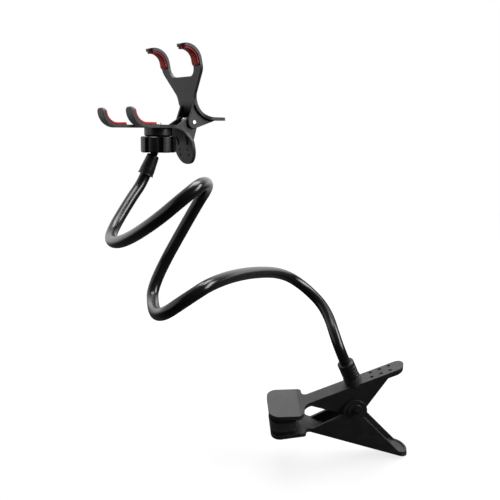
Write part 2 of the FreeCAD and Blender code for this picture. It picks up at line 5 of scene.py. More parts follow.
import bpy
import numpy as np
from bpy.props import FloatProperty, FloatVectorProperty, IntProperty, PointerProperty
from mathutils import Matrix, Quaternion, Vector


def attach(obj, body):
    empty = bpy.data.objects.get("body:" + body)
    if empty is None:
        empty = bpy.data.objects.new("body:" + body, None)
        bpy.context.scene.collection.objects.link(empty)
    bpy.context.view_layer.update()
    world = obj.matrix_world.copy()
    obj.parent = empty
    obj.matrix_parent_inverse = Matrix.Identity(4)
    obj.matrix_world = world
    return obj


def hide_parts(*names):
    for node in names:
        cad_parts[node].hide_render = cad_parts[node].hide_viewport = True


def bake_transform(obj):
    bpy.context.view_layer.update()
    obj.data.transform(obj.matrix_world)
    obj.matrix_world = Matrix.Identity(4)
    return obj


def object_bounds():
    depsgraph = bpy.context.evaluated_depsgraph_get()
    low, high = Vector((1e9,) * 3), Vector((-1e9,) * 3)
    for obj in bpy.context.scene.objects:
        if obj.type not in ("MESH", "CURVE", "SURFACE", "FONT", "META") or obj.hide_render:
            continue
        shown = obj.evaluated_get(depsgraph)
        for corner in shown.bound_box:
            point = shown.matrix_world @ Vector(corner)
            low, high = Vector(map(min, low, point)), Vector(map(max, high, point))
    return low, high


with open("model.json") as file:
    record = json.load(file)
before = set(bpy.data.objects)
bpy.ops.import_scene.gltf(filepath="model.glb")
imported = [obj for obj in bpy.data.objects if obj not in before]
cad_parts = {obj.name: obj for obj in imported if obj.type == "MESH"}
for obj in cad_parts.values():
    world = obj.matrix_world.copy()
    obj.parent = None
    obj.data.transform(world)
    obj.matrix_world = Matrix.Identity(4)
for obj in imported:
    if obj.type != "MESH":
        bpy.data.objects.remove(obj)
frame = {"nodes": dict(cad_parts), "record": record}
cad_box = [list(corner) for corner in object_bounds()]

bl_info = {
    "name": "Desk phone holder",
    "version": (1, 0, 0),
    "blender": (4, 5, 0),
    "location": "3D View > Sidebar > Phone holder",
    "description": "Finishes and soft pieces of a clamp-on phone holder with a bendable arm",
    "category": "Object",
}

BODY_OF = {
    node: body
    for body, nodes in frame["record"]["behaviour"]["bodies"].items()
    for node in nodes}

# Every place below is in metres, in the part's own frame
MM = 0.001

# Desk clip: its pin, how far the lower jaw is turned, and its plates, which slope from a bend
DESK_PIN = np.array([57.6, 0.0, 3.4]) * MM
DESK_OPENING = math.radians(7.0)
DESK_PLATE = 3.6 * MM
DESK_PLATE_MIDDLE = 6.0 * MM
DESK_BEND = 9.5 * MM
DESK_SLOPES = {"upper": math.radians(22.5), "lower": math.radians(27.5)}

# Phone clip: its hinge, its axes, how far the upper jaw is turned, its plates, handles and hooks
CLIP_HINGE = np.array([-79.02693, 94.18427, 229.00066]) * MM
CLIP_FRONT = np.array([-0.84134798, -0.51356100, 0.16848938])
CLIP_ALONG = np.array([0.53996652, -0.81241027, 0.22005841])
CLIP_UP = np.array([0.02386908, 0.27612433, 0.96082549])
CLIP_OPENING = math.radians(78.5)
CLIP_PLATE = 2.6 * MM
CLIP_PLATE_LEVEL = -3.7 * MM
HANDLE_TURN = math.radians(78.0)
HANDLE_RADIUS = 18.0 * MM
HANDLE_STARTS = {"lower": 21.0 * MM, "upper": 17.0 * MM}
HOOK_REACHES = {"lower": 66.2 * MM, "upper": 62.7 * MM}
HOOK_RADIUS = 12.7 * MM
FINGER_OFFSETS = {"left": -25.5 * MM, "right": 25.5 * MM}

# Arm: distances of its first points from the collar's foot and of its last ones from the ball, and
# the bends between as shares of the ball's place.  Rings of the hose start at the side direction.
BALL = np.array([-103.0, 75.0, 217.0]) * MM
STEM_AXIS = np.array([0.405935, 0.340620, 0.848048])
COLLAR_FOOT = np.array([57.0, 0.0, 25.67515]) * MM
COLLAR_AXIS = np.array([-0.382683, 0.0, 0.923880])
IN_COLLAR = np.array([11.4, 13.0, 41.4]) * MM
IN_FERRULE = np.array([36.0, 18.6, 14.0]) * MM
ARM_BENDS = np.array([
    (-0.35, 0.44, 0.369), (-0.175, 0.64, 0.438), (0.019, 0.573, 0.512), (0.32, -0.32, 0.673),
    (0.583, -1.19, 0.797), (0.767, -1.35, 0.765), (0.942, -1.27, 0.691), (1.04, -0.347, 0.544),
    (1.05, -0.053, 0.59), (0.699, 0.2, 0.857), (0.612, 0.093, 0.935), (0.631, -0.893, 1.08),
    (0.767, -1.07, 1.05), (0.951, -1.01, 0.968), (1.18, -0.56, 0.839), (1.32, -0.16, 0.77),
    (1.36, 0.213, 0.751), (1.22, 0.645, 0.825)])
HOSE_SIDE = np.array([0.961, -0.276, 0.0])
LINE_STEPS = 40

# Springs: coil radii, pitch, how far the legs reach, and the points of their lines
DESK_COIL = 4.6 * MM
CLIP_COIL = 3.6 * MM
COIL_PITCH = 2.0 * MM
DESK_LEG_REACH = 27.0 * MM
CLIP_LEG_REACH = 4.0 * MM
SPRING_CLEARANCE = 0.3 * MM
WIRE_SIDES = 14
TURN_POINTS = 60
LEG_POINTS = 12

# Finger pads: height of the tip and place of the back end from the hinge, rounding of the ends in
# plan and in height, squareness of the section, and points round and along
PAD_TIP = 9.8 * MM
PAD_BACK = 45.0 * MM
PAD_END_PLAN = 2.2 * MM
PAD_END_HEIGHT = 0.8 * MM
PAD_SQUARENESS = 7.0
PAD_SIDES = 56
PAD_STATIONS = 130

# Desk pads: ends and side of the outline, its corners, the rounding of the grip face's edge and of
# the seat's edge, the points of each round, and the rings of the two faces as shares of the edge
DESK_PAD_FRONT = -15.9 * MM
DESK_PAD_BACK = 6.6 * MM
DESK_PAD_SIDE = 18.9 * MM
DESK_PAD_FRONT_CORNER = 8.4 * MM
DESK_PAD_BACK_CORNER = 5.0 * MM
GRIP_ROUND = 1.1 * MM
SEAT_ROUND = 0.5 * MM
CORNER_POINTS = 14
GRIP_POINTS = 9
SEAT_POINTS = 7
FACE_SHARES = np.array([0.12, 0.4, 0.7, 0.9])[:, None, None]

# Stage: the floor's disc, the share of its colour that soft light meets, how white the camera sees
# it at the object, the distances over which it turns white, and the bright part of the studio
FLOOR_RADIUS = 30.0
FLOOR_SIDES = 96
FLOOR_RETURN = 0.04
FLOOR_WHITE = 0.8
FLOOR_FADE = (0.35, 0.7)
MIRRORED_FLOOR_WAY = (-0.35, 0.93, 0.0)
MIRRORED_FLOOR_FADE = (0.3, 0.8)
BACKDROP_WAY = (-0.4, 0.9, 0.15)
BACKDROP_FADE = (0.25, 0.8)
ROOM_LIGHT = 0.04
BACKDROP_LIGHT = 0.56
LAMP_DISTANCE = 1.0
WHITE = (1.0, 1.0, 1.0, 1.0)


class HolderSizes(bpy.types.PropertyGroup):
    """Sizes of the pieces that are made here."""

    hose_radius: FloatProperty(
        name="Hose radius", description="Outer radius of the bendable arm's jacket",
        default=4.5 * MM, unit="LENGTH", precision=5)
    hose_sides: IntProperty(
        name="Hose sides", description="Points round the hose", default=48, min=12, max=96)
    hose_stations: IntProperty(
        name="Hose stations", description="Rings along the hose", default=840, min=200, max=1600)
    desk_wire: FloatProperty(
        name="Desk spring wire", description="Wire radius of the desk clip's spring",
        default=0.9 * MM, unit="LENGTH", precision=5)
    clip_wire: FloatProperty(
        name="Phone clip spring wire", description="Wire radius of the phone clip's spring",
        default=0.6 * MM, unit="LENGTH", precision=5)
    pad_thickness: FloatProperty(
        name="Finger pad thickness", description="Thickness of the red pad on a finger",
        default=2.0 * MM, unit="LENGTH", precision=5)
    pad_width: FloatProperty(
        name="Finger pad width", description="Width of the red pad on a finger",
        default=9.3 * MM, unit="LENGTH", precision=5)
    pad_crown: FloatProperty(
        name="Finger pad crown",
        description="How much lower a finger pad is along its edges than in its middle",
        default=0.35 * MM, unit="LENGTH", precision=5)
    desk_pad_height: FloatProperty(
        name="Desk pad height", description="Thickness of a desk clip's pad",
        default=4.2 * MM, unit="LENGTH", precision=5)
    edge_round: FloatProperty(
        name="Moulded edge", description="Radius that the mouldings' edges seem to have",
        default=0.45 * MM, unit="LENGTH", precision=5)


class HolderColours(bpy.types.PropertyGroup):
    """Colours of the finishes."""

    satin: FloatVectorProperty(
        name="Satin plastic", description="The two clips' mouldings", subtype="COLOR", size=3,
        default=(0.02, 0.02, 0.021), min=0, max=1)
    smooth: FloatVectorProperty(
        name="Smooth plastic", description="Collar, ferrule, nut and socket", subtype="COLOR",
        size=3, default=(0.006, 0.006, 0.0063), min=0, max=1)
    hose: FloatVectorProperty(
        name="Hose", description="The arm's glossy jacket", subtype="COLOR", size=3,
        default=(0.006, 0.006, 0.0065), min=0, max=1)
    red: FloatVectorProperty(
        name="Finger pads", description="Soft pads inside the hooks", subtype="COLOR", size=3,
        default=(0.47, 0.02, 0.013), min=0, max=1)
    rubber: FloatVectorProperty(
        name="Desk pads", description="Pads that grip the desk", subtype="COLOR", size=3,
        default=(0.012, 0.012, 0.012), min=0, max=1)
    liner: FloatVectorProperty(
        name="Ball liner", description="Friction ring round the ball", subtype="COLOR", size=3,
        default=(0.05, 0.05, 0.054), min=0, max=1)
    steel: FloatVectorProperty(
        name="Steel", description="Springs, screws and the phone clip's pin", subtype="COLOR",
        size=3, default=(0.72, 0.72, 0.73), min=0, max=1)
    blackened: FloatVectorProperty(
        name="Blackened steel", description="The desk clip's pin", subtype="COLOR", size=3,
        default=(0.022, 0.022, 0.024), min=0, max=1)
    floor: FloatVectorProperty(
        name="Floor", description="The pale floor", subtype="COLOR", size=3,
        default=(0.86, 0.86, 0.86), min=0, max=1)


class StageSettings(bpy.types.PropertyGroup):
    """Camera and lamps."""

    camera_place: FloatVectorProperty(
        name="Camera place", description="Where the camera stands", subtype="TRANSLATION", size=3,
        default=(-0.0629, -0.5397, 0.4051), precision=4)
    camera_down: FloatProperty(
        name="Camera down", description="How far the camera looks down", subtype="ANGLE",
        default=math.radians(25.0))
    camera_turn: FloatProperty(
        name="Camera turn", description="How far the camera looks to the right", subtype="ANGLE",
        default=math.radians(3.3))
    lens: FloatProperty(
        name="Lens", description="Focal length on a 36 mm sensor", default=55.44, unit="CAMERA")
    strip_power: FloatProperty(
        name="Strip lamp", description="Power of the broad lamp at the right", default=12.0,
        unit="POWER")
    top_power: FloatProperty(
        name="Top lamp", description="Power of the lamp above and behind", default=14.0,
        unit="POWER")
    left_power: FloatProperty(
        name="Left lamp", description="Power of the soft lamp at the left", default=1.0,
        unit="POWER")


class Tone:
    """A shader value; arithmetic on it adds Math nodes to the finish that it belongs to."""

    def __init__(self, finish, socket):
        self.finish, self.socket = finish, socket

    def math(self, operation, first, second):
        return self.finish.add("ShaderNodeMath", {"operation": operation}, {0: first, 1: second})

    def __add__(self, other):
        return self.math("ADD", self, other)

    def __sub__(self, other):
        return self.math("SUBTRACT", self, other)

    def __rsub__(self, other):
        return self.math("SUBTRACT", other, self)

    def __mul__(self, other):
        return self.math("MULTIPLY", self, other)

    __radd__, __rmul__ = __add__, __mul__

    def clipped(self):
        return self.finish.add("ShaderNodeClamp", {}, {0: self})

    def swing(self, amount):
        """The value's distance from its middle of a half, times an amount."""
        return amount * (self - 0.5)

    def stepped(self, low, high):
        """0 below low, 1 above high and a smooth rise between."""
        settings = {"interpolation_type": "SMOOTHSTEP"}
        return self.finish.add("ShaderNodeMapRange", settings, {0: self, 1: low, 2: high})


class Finish:
    """The node tree of a material or of the world, built by add()."""

    def __init__(self, owner):
        owner.use_nodes = True
        self.owner, self.tree = owner, owner.node_tree
        self.tree.nodes.clear()

    def add(self, kind, settings, inputs, output=0):
        """One node from its type, its settings and the values or links of its sockets."""
        node = self.tree.nodes.new(kind)
        for key, value in settings.items():
            setattr(node, key, value)
        for key, value in inputs.items():
            if isinstance(value, Tone):
                self.tree.links.new(value.socket, node.inputs[key])
            else:
                node.inputs[key].default_value = value
        return Tone(self, node.outputs[output]) if len(node.outputs) else None

    def blend(self, share, first, second):
        """Colour that goes from the first to the second."""
        pair = [c if isinstance(c, Tone) else (*c, 1.0) for c in (first, second)]
        inputs = {0: share, 6: pair[0], 7: pair[1]}
        return self.add("ShaderNodeMix", {"data_type": "RGBA"}, inputs, 2)

    def place(self, output="Object"):
        return self.add("ShaderNodeTexCoord", {}, {}, output)

    def stretched(self, place, scale):
        return self.add("ShaderNodeMapping", {}, {"Vector": place, "Scale": scale})

    def dot(self, first, second):
        settings = {"operation": "DOT_PRODUCT"}
        return self.add("ShaderNodeVectorMath", settings, {0: first, 1: second}, "Value")

    def length(self, vector):
        return self.add("ShaderNodeVectorMath", {"operation": "LENGTH"}, {0: vector}, "Value")

    def noise(self, place, scale, detail, roughness):
        inputs = {"Vector": place, "Scale": scale, "Detail": detail, "Roughness": roughness}
        return self.add("ShaderNodeTexNoise", {}, inputs)

    def bump(self, height, strength, depth, **over):
        """Normal of a relief, over another normal where one is given as Normal."""
        inputs = {"Strength": strength, "Distance": depth, "Height": height, **over}
        return self.add("ShaderNodeBump", {}, inputs)

    def rounded(self, radius):
        """Normal that is rounded at sharp edges, and a mask that is 1 along them."""
        normal = self.add("ShaderNodeBevel", {"samples": 6}, {"Radius": radius})
        flat = self.add("ShaderNodeNewGeometry", {}, {}, "Normal")
        return normal, (1.0 - self.dot(normal, flat)).stepped(0.01, 0.2)

    def ray_kinds(self):
        """Values that are 1 for what the camera, mirrors and glass see."""
        kinds = ("Is Camera Ray", "Is Glossy Ray", "Is Transmission Ray")
        return [self.add("ShaderNodeLightPath", {}, {}, kind) for kind in kinds]

    def surface(self, inputs):
        """The Principled shader, joined to the output."""
        shader = self.add("ShaderNodeBsdfPrincipled", {}, inputs)
        self.add("ShaderNodeOutputMaterial", {}, {"Surface": shader})
        return self.owner


def new_finish(name):
    return Finish(bpy.data.materials.new(name))


def tinted(colour, share, more=0.0):
    """The colour times a share, and a little more, up to 1."""
    return [min(1.0, part * share + more) for part in colour]


def moulded(name, colour, edge_round, gloss, depth):
    """Moulded plastic: an eroded grain, patches that shine a little more, edges rubbed smooth."""
    patch_shine, grain_shine, edge_shine, edge_wear = 0.16, 0.08, 0.07, 0.55
    finish = new_finish(name)
    place = finish.place()
    grain = finish.noise(place, scale=2600.0, detail=3.0, roughness=0.65)
    patches = finish.noise(place, scale=95.0, detail=4.0, roughness=0.6)
    rounded, edge = finish.rounded(edge_round)
    dusty, worn = tinted(colour, 1.5, more=0.004), tinted(colour, 2.2, more=0.006)
    tone = finish.blend(patches.stepped(0.35, 0.75), colour, dusty)
    tone = finish.blend(edge * edge_wear, tone, worn)
    rough = gloss + patches.swing(patch_shine) + grain.swing(grain_shine) - edge_shine * edge
    bump = finish.bump(grain, strength=0.6, depth=depth, Normal=rounded)
    return finish.surface({"Base Color": tone, "Roughness": rough.clipped(), "Normal": bump})


def hose_finish(colour):
    """Glossy jacket: faint drawn lines along it, a slow unevenness of the wire wound under it, and
    handling marks."""
    gloss, mark_dulling, line_dulling = 0.22, 0.02, 0.01
    wave_height, line_height = 0.12, 0.002
    finish = new_finish("gloss_hose")
    place = finish.place()
    waves = finish.noise(place, scale=60.0, detail=2.0, roughness=0.5)
    marks = finish.noise(place, scale=110.0, detail=4.0, roughness=0.6)
    drawn = finish.stretched(finish.place("UV"), (12.0, 40.0, 1.0))
    lines = finish.noise(drawn, scale=1.0, detail=4.0, roughness=0.6)
    relief = waves * wave_height + lines * line_height
    bump = finish.bump(relief, strength=0.3, depth=0.4 * MM)
    tone = finish.blend(marks.stepped(0.5, 0.8), colour, tinted(colour, 1.8, more=0.002))
    rough = gloss + mark_dulling * marks.stepped(0.45, 0.8) + line_dulling * lines
    return finish.surface({
        "Base Color": tone, "Roughness": rough.clipped(), "Normal": bump, "IOR": 1.5})


def pad_finish(name, colour, gloss, cells, depth):
    """Soft pad: fine closed cells with painted shade in their hollows, uneven dye and a dull skin.
    """
    pore_height, skin_height, painted_pore_shade = 0.7, 0.3, 0.15
    skin_shine, dye_shine = 0.12, 0.1
    finish = new_finish(name)
    place = finish.place()
    pores = finish.add("ShaderNodeTexVoronoi", {}, {"Vector": place, "Scale": cells})
    skin = finish.noise(place, scale=cells * 2.2, detail=3.0, roughness=0.7)
    dye = finish.noise(place, scale=160.0, detail=3.0, roughness=0.6)
    tone = finish.blend(dye.stepped(0.3, 0.75), tinted(colour, 0.78), tinted(colour, 1.08))
    # painted shade: the pores' hollows are darkened towards a deeper shade of the pad's colour
    inside = 1.0 - pores.stepped(0.05, 0.35)
    tone = finish.blend(inside * painted_pore_shade, tone, tinted(colour, 0.45))
    relief = pores.stepped(0.0, 0.5) * pore_height + skin * skin_height
    bump = finish.bump(relief, strength=0.35, depth=depth)
    rough = gloss + skin.swing(skin_shine) + dye.swing(dye_shine)
    return finish.surface({
        "Base Color": tone, "Roughness": rough.clipped(), "Normal": bump,
        "Specular IOR Level": 0.3})


def metal_finish(name, colour, gloss, metallic=1.0):
    """Drawn metal: fine streaks, small pits and duller patches."""
    streak_height, pit_height, pit_tint, dull_tint = 0.7, 0.3, 0.3, 0.4
    dulling, streak_shine = 0.14, 0.1
    finish = new_finish(name)
    place = finish.place()
    drawn = finish.stretched(place, (1.0, 9.0, 9.0))
    streaks = finish.noise(drawn, scale=900.0, detail=4.0, roughness=0.6)
    pits = finish.noise(place, scale=1500.0, detail=3.0, roughness=0.6)
    dull = finish.noise(place, scale=210.0, detail=3.0, roughness=0.6).stepped(0.4, 0.75)
    tone = finish.blend(dull * dull_tint, colour, tinted(colour, 0.7))
    tone = finish.blend(pits.stepped(0.66, 0.8) * pit_tint, tone, tinted(colour, 0.4))
    relief = streaks * streak_height + pits * pit_height
    bump = finish.bump(relief, strength=0.3, depth=0.03 * MM)
    rough = gloss + dulling * dull + streaks.swing(streak_shine)
    return finish.surface({
        "Base Color": tone, "Metallic": metallic, "Roughness": rough.clipped(), "Normal": bump})


def unit(vectors):
    return vectors / np.linalg.norm(vectors, axis=-1, keepdims=True)


def distances(line):
    """How far along the line each of its points lies."""
    return np.concatenate([[0.0], np.cumsum(np.linalg.norm(np.diff(line, axis=0), axis=1))])


def quarter_round(distance, radius):
    """How far a round end of that radius lies inside its side: r - sqrt(r^2 - (r - distance)^2)."""
    return radius * (1 - np.sqrt(1 - (1 - np.clip(distance / radius, 0, 1)) ** 2))


def carried(profile, line, side, lift):
    """A profile carried along a line: P(s, t) = line(s) + a(s, t) side(s) + b(s, t) lift(s)."""
    return line[:, None] + profile[..., :1] * side[:, None] + profile[..., 1:] * lift[:, None]


def closed_piece(name, rings, along=None):
    """An object from a stack of closed rings, rings[s, t]: quads join each ring to the next, and a
    fan about the middle of the first and of the last ring closes the ends.  The UV map is
    (along[s], t round the ring)."""
    stations, around = rings.shape[:2]
    grid = np.arange(stations * around).reshape(stations, around)
    ahead = np.roll(grid, -1, axis=1)
    quads = np.stack([grid[:-1], grid[1:], ahead[1:], ahead[:-1]], -1).reshape(-1, 4)
    first, last = stations * around, stations * around + 1
    fans = np.concatenate([
        np.stack([np.full(around, first), grid[0], ahead[0]], -1),
        np.stack([np.full(around, last), ahead[-1], grid[-1]], -1)])
    points = np.concatenate([rings.reshape(-1, 3), rings[[0, -1]].mean(1)])
    a, b, c, d = (points[quads[:, i]] for i in range(4))
    volume = np.einsum("ij,ij->", a, np.cross(b, c)) + np.einsum("ij,ij->", a, np.cross(c, d))
    if volume < 0:
        quads, fans = quads[:, ::-1], fans[:, ::-1]
    mesh = bpy.data.meshes.new(name)
    mesh.from_pydata(points.tolist(), [], quads.tolist() + fans.tolist())
    if along is not None:
        u = np.concatenate([np.repeat(along, around), along[[0, -1]]])
        v = np.concatenate([np.tile(np.arange(around) / around, stations), [0.0, 0.0]])
        corners = np.concatenate([quads.ravel(), fans.ravel()])
        uv = np.stack([u[corners], v[corners]], -1)
        wraps = uv[:quads.size, 1].reshape(-1, 4)
        wraps[(wraps.max(1) - wraps.min(1) > 0.5)[:, None] & (wraps < 0.5)] += 1.0
        layer = mesh.uv_layers.new(name="along_and_round")
        layer.uv.foreach_set("vector", uv.astype(np.float32).ravel())
    mesh.shade_smooth()
    piece = bpy.data.objects.new(name, mesh)
    bpy.context.scene.collection.objects.link(piece)
    return piece


def round_tube(name, line, radius, sides, reference):
    """A round tube: P(s, t) = line(s) + r (cos(t - d(s)) side(s) + sin(t - d(s)) lift(s)).  side(s)
    is the reference direction made square to the line, lift(s) is square to both, and d(s), the sum
    of side' . lift along the line, takes out their twist."""
    tangent = unit(np.gradient(line, axis=0))
    side = unit(reference - (tangent @ reference)[:, None] * tangent)
    lift = np.cross(tangent, side)
    steps = np.einsum("ij,ij->i", np.diff(side, axis=0), lift[:-1])
    twist = np.concatenate([[0.0], np.cumsum(steps)])
    turn = np.linspace(0.0, 2 * np.pi, sides, endpoint=False) - twist[:, None]
    circle = radius * np.stack([np.cos(turn), np.sin(turn)], -1)
    return closed_piece(name, carried(circle, line, side, lift), distances(line))


def stand_in(piece, node, material, other=None):
    """The piece takes the node's place, on the same body, with its finish.  Where it works between
    two bodies and other is given, its place is only baked into its mesh and it is tied to neither
    body."""
    piece.data.materials.clear()
    piece.data.materials.append(material)
    if other:
        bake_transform(piece)
    else:
        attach(piece, BODY_OF[node])
    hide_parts(node)


def paint(nodes, material):
    """The finish on carried-over CAD nodes."""
    for node in nodes:
        mesh = frame["nodes"][node].data
        mesh.materials.clear()
        mesh.materials.append(material)


def opened(x, z, opening):
    """Distances forward and up from a hinge, flipped over its level and turned by the opening."""
    cos, sin = math.cos(opening), math.sin(opening)
    return x * cos + z * sin, x * sin - z * cos


def in_lower_clip(points):
    """Places from the phone clip's lower jaw: forwards, along the hinge, up."""
    return CLIP_HINGE + points @ np.stack([CLIP_FRONT, CLIP_ALONG, CLIP_UP])


def in_upper_clip(points):
    """Places from the upper jaw: the lower one flipped over the hinge and opened."""
    x, z = opened(points[..., 0], points[..., 2], CLIP_OPENING)
    return in_lower_clip(np.stack([x, points[..., 1], z], -1))


def smooth_line(control, count):
    """Points evenly spaced along a NURBS line of order 3 that has these control points."""
    curve = bpy.data.curves.new("arm_line", "CURVE")
    curve.dimensions = "3D"
    spline = curve.splines.new("NURBS")
    spline.points.add(len(control) - 1)
    weighted = np.c_[control, np.ones(len(control))]
    spline.points.foreach_set("co", weighted.astype(np.float32).ravel())
    spline.order_u = 3
    spline.use_endpoint_u = True
    spline.resolution_u = LINE_STEPS
    carrier = bpy.data.objects.new("arm_line", curve)
    mesh = bpy.data.meshes.new_from_object(carrier)
    line = np.zeros(len(mesh.vertices) * 3, np.float32)
    mesh.vertices.foreach_get("co", line)
    line = line.reshape(-1, 3).astype(float)
    bpy.data.objects.remove(carrier)
    bpy.data.meshes.remove(mesh)
    bpy.data.curves.remove(curve)
    run = distances(line)
    keep = np.concatenate([[True], np.diff(run) > 1e-9])
    even = np.linspace(0.0, run[-1], count)
    return np.stack([np.interp(even, run[keep], line[keep, i]) for i in range(3)], -1)


def wound_spring(name, place, pin, coil, wire, turns, first_end, last_end):
    """Torsion spring: a straight leg, a helix (c cos t, h t, c sin t) about the pin, and a straight
    leg, both legs tangent to the helix.  The ends are (x, z) points seen from the pin."""
    def touch(end, leaving):
        x, z = end
        base, swing = math.atan2(z, x), math.acos(coil / math.hypot(x, z))
        runs = {
            a: (x - coil * math.cos(a)) * -math.sin(a) + (z - coil * math.sin(a)) * math.cos(a)
            for a in (base + swing, base - swing)}
        return next((a, abs(run)) for a, run in runs.items() if (run > 0) == leaving)

    start, first_leg = touch(first_end, False)
    finish, last_leg = touch(last_end, True)
    sweep = 2 * math.pi * turns + (finish - start) % (2 * math.pi)
    turn = np.linspace(start, start + sweep, TURN_POINTS * (turns + 1))
    rise = COIL_PITCH / (2 * math.pi) * (start + sweep / 2 - turn)
    helix = np.stack([coil * np.cos(turn), rise, coil * np.sin(turn)], -1)
    before = np.array([-math.sin(start), 0.0, math.cos(start)])
    after = np.array([-math.sin(finish), 0.0, math.cos(finish)])
    legs = np.linspace(0.0, 1.0, LEG_POINTS)[:, None]
    line = np.concatenate([
        helix[0] - before * first_leg * (1 - legs[:-1]), helix,
        helix[-1] + after * last_leg * legs[1:]])
    return round_tube(name, place(line), wire, WIRE_SIDES, pin)


class HOLDER_OT_arm_hose(bpy.types.Operator):
    """Bendable arm: a smooth glossy hose from the collar to the ferrule"""

    bl_idname = "holder.arm_hose"
    bl_label = "Arm hose"

    def execute(self, context):
        sizes, colours = context.scene.holder_sizes, context.scene.holder_colours
        control = np.concatenate([
            COLLAR_FOOT + np.multiply.outer(IN_COLLAR, COLLAR_AXIS), BALL * ARM_BENDS,
            BALL - np.multiply.outer(IN_FERRULE, STEM_AXIS)])
        line = smooth_line(control, sizes.hose_stations)
        hose = round_tube("arm_hose", line, sizes.hose_radius, sizes.hose_sides, HOSE_SIDE)
        stand_in(hose, "gooseneck_arm", hose_finish(list(colours.hose)))
        return {"FINISHED"}


class HOLDER_OT_springs(bpy.types.Operator):
    """Round-wire springs of both clips"""

    bl_idname = "holder.springs"
    bl_label = "Springs"

    def execute(self, context):
        sizes = context.scene.holder_sizes
        steel = metal_finish("spring_steel", list(context.scene.holder_colours.steel), gloss=0.26)
        desk = wound_spring(
            "spring_desk", lambda points: DESK_PIN + points, pin=np.array([0.0, 1.0, 0.0]),
            coil=DESK_COIL, wire=sizes.desk_wire, turns=2,
            first_end=self.plate_end("upper", DESK_PIN[2], sizes.desk_wire),
            last_end=opened(*self.plate_end("lower", -DESK_PIN[2], sizes.desk_wire), DESK_OPENING))
        stand_in(desk, "desk_spring", steel, other="desk_lower")
        clip = wound_spring(
            "spring_clip", in_lower_clip, pin=CLIP_ALONG,
            coil=CLIP_COIL, wire=sizes.clip_wire, turns=3,
            first_end=opened(*self.handle_end("upper", sizes.clip_wire), CLIP_OPENING),
            last_end=self.handle_end("lower", sizes.clip_wire))
        stand_in(clip, "clip_spring", steel, other="clip_upper")
        return {"FINISHED"}

    def plate_end(self, jaw, level, wire):
        """Where a leg ends inside a desk jaw's sloping plate, from a pin at that level."""
        slope = DESK_SLOPES[jaw]
        gap = DESK_PLATE / 2 / math.cos(slope) + wire + SPRING_CLEARANCE
        run = DESK_PIN[0] + DESK_LEG_REACH - DESK_BEND
        return DESK_LEG_REACH, DESK_PLATE_MIDDLE + run * math.tan(slope) - level - gap

    def handle_end(self, jaw, wire):
        """Where a leg ends inside a phone clip's handle, past its bend, from the hinge."""
        cos, sin = math.cos(HANDLE_TURN), math.sin(HANDLE_TURN)
        gap = CLIP_PLATE / 2 + wire + SPRING_CLEARANCE
        x = HANDLE_STARTS[jaw] - HANDLE_RADIUS * sin - CLIP_LEG_REACH * cos - gap * sin
        z = CLIP_PLATE_LEVEL - HANDLE_RADIUS * (1 - cos) - CLIP_LEG_REACH * sin + gap * cos
        return x, z


class HOLDER_OT_finger_pads(bpy.types.Operator):
    """Red pads inside the four hooked fingers"""

    bl_idname = "holder.finger_pads"
    bl_label = "Finger pads"

    def execute(self, context):
        """The profile is a flat-based strip with a crowned top and rounded corners, which narrows
        in rounded ends.  It is carried down the hook's tip, round its inside bend and back along
        the plate."""
        sizes, colours = context.scene.holder_sizes, context.scene.holder_colours
        red = pad_finish("red_pad", list(colours.red), gloss=0.55, cells=1500.0, depth=0.12 * MM)
        thick, width = sizes.pad_thickness, sizes.pad_width
        lift = (CLIP_PLATE + thick) / 2
        level, radius = CLIP_PLATE_LEVEL + lift, HOOK_RADIUS - lift
        drop, bend = PAD_TIP - level - radius, radius * math.pi / 2
        turn = np.linspace(0.0, 2 * np.pi, PAD_SIDES, endpoint=False)
        wide, tall = (
            np.sign(part) * np.abs(part) ** (2 / PAD_SQUARENESS)
            for part in (np.cos(turn), np.sin(turn)))
        for jaw, place in (("lower", in_lower_clip), ("upper", in_upper_clip)):
            across = HOOK_REACHES[jaw] - lift
            total = drop + bend + across - radius - PAD_BACK
            s = total * (0.5 - 0.5 * np.cos(np.linspace(0.0, np.pi, PAD_STATIONS)))
            angle = np.clip((s - drop) / radius, 0.0, math.pi / 2)
            centred = np.zeros_like(s)
            x = across - radius + radius * np.cos(angle) - np.maximum(s - drop - bend, 0.0)
            z = level + radius - radius * np.sin(angle) + np.maximum(drop - s, 0.0)
            line = np.stack([x, centred, z], -1)
            inward = np.stack([-np.cos(angle), centred, np.sin(angle)], -1)
            along_hinge = np.broadcast_to([0.0, 1.0, 0.0], inward.shape)
            end = np.minimum(s, total - s)
            a = (width / 2 - quarter_round(end, PAD_END_PLAN))[:, None] * wide
            thinned = quarter_round(end, PAD_END_HEIGHT)[:, None]
            b = -thick / 2 + (tall + 1) / 2 * (thick - thinned - sizes.pad_crown * wide ** 4)
            rings = carried(np.stack([a, b], -1), line, along_hinge, inward)
            for hand, offset in FINGER_OFFSETS.items():
                moved = place(rings + [0.0, offset, 0.0])
                pad = closed_piece(f"finger_pad_{jaw}_{hand}", moved, s)
                stand_in(pad, f"{jaw}_pad_{hand}", red)
        return {"FINISHED"}


